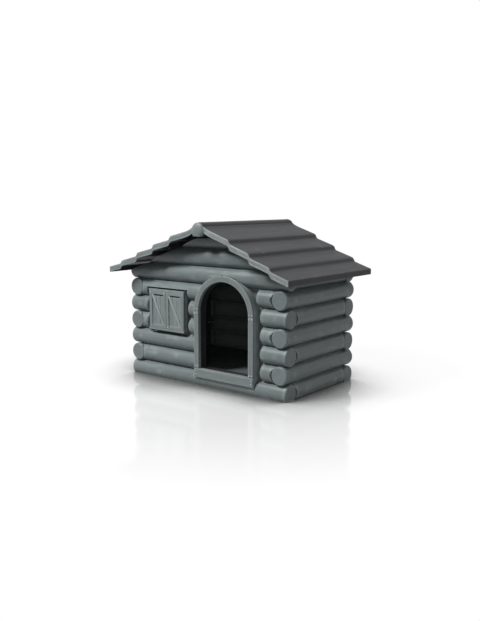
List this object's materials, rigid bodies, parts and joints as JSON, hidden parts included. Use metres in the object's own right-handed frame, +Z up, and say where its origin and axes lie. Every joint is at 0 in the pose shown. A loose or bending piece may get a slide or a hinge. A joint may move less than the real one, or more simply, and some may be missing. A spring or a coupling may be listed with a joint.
{
  "type": "dog kennel",
  "caption": "Log-cabin dog kennel of moulded plastic panels, with an arched doorway, a shuttered window and a lift-off stepped board roof with a ridge log.",
  "frame": {"origin": "on the ground, in the middle of the rectangle that the wall logs' axes make", "axes": "+X along the front to the right, -Y out of the front, +Z up"},
  "size_m": [1.057, 0.704, 0.747],
  "materials": {
    "wall_plastic": "satin moulded plastic, grey with a green cast",
    "trim_plastic": "satin moulded plastic, grey with a green cast",
    "roof_plastic": "satin moulded plastic, charcoal grey",
    "floor_plastic": "dull moulded plastic, dark grey",
    "nail_plastic": "satin moulded plastic",
    "zinc_steel": "zinc plated"
  },
  "bodies": {
    "cabin": {"floor_tray": "floor_plastic", "floor_screws": "zinc_steel", "post_front_left": "floor_plastic", "post_front_right": "floor_plastic", "post_rear_left": "floor_plastic", "post_rear_right": "floor_plastic", "post_screws": "zinc_steel", "door_casing": "trim_plastic", "door_arch": "trim_plastic", "door_jamb_left": "trim_plastic", "door_jamb_right": "trim_plastic", "door_sill": "trim_plastic", "trim_nails": "nail_plastic", "casing_screws": "zinc_steel", "window_box": "trim_plastic", "shutter_pins": "zinc_steel", "window_screws": "zinc_steel", "front_wall": "wall_plastic", "rear_wall": "wall_plastic", "left_wall": "wall_plastic", "right_wall": "wall_plastic"},
    "roof": {"roof_left": "roof_plastic", "roof_right": "roof_plastic", "ridge_log": "roof_plastic", "ridge_screws": "zinc_steel"},
    "left_shutter": {"shutter_left": "trim_plastic"},
    "right_shutter": {"shutter_right": "trim_plastic"}
  },
  "joints": [
    {"name": "roof_lift", "type": "slide", "parent": "cabin", "child": "roof", "axis": [0, 0, 1], "range_m": [0, 0.25]},
    {"name": "left_shutter_swing", "type": "hinge", "parent": "cabin", "child": "left_shutter", "pos_m": [-0.3255, -0.277, 0.3295], "axis": [0, 0, -1], "range_deg": [0, 120]},
    {"name": "right_shutter_swing", "type": "hinge", "parent": "cabin", "child": "right_shutter", "pos_m": [-0.1135, -0.277, 0.3295], "axis": [0, 0, 1], "range_deg": [0, 120]}
  ]
}
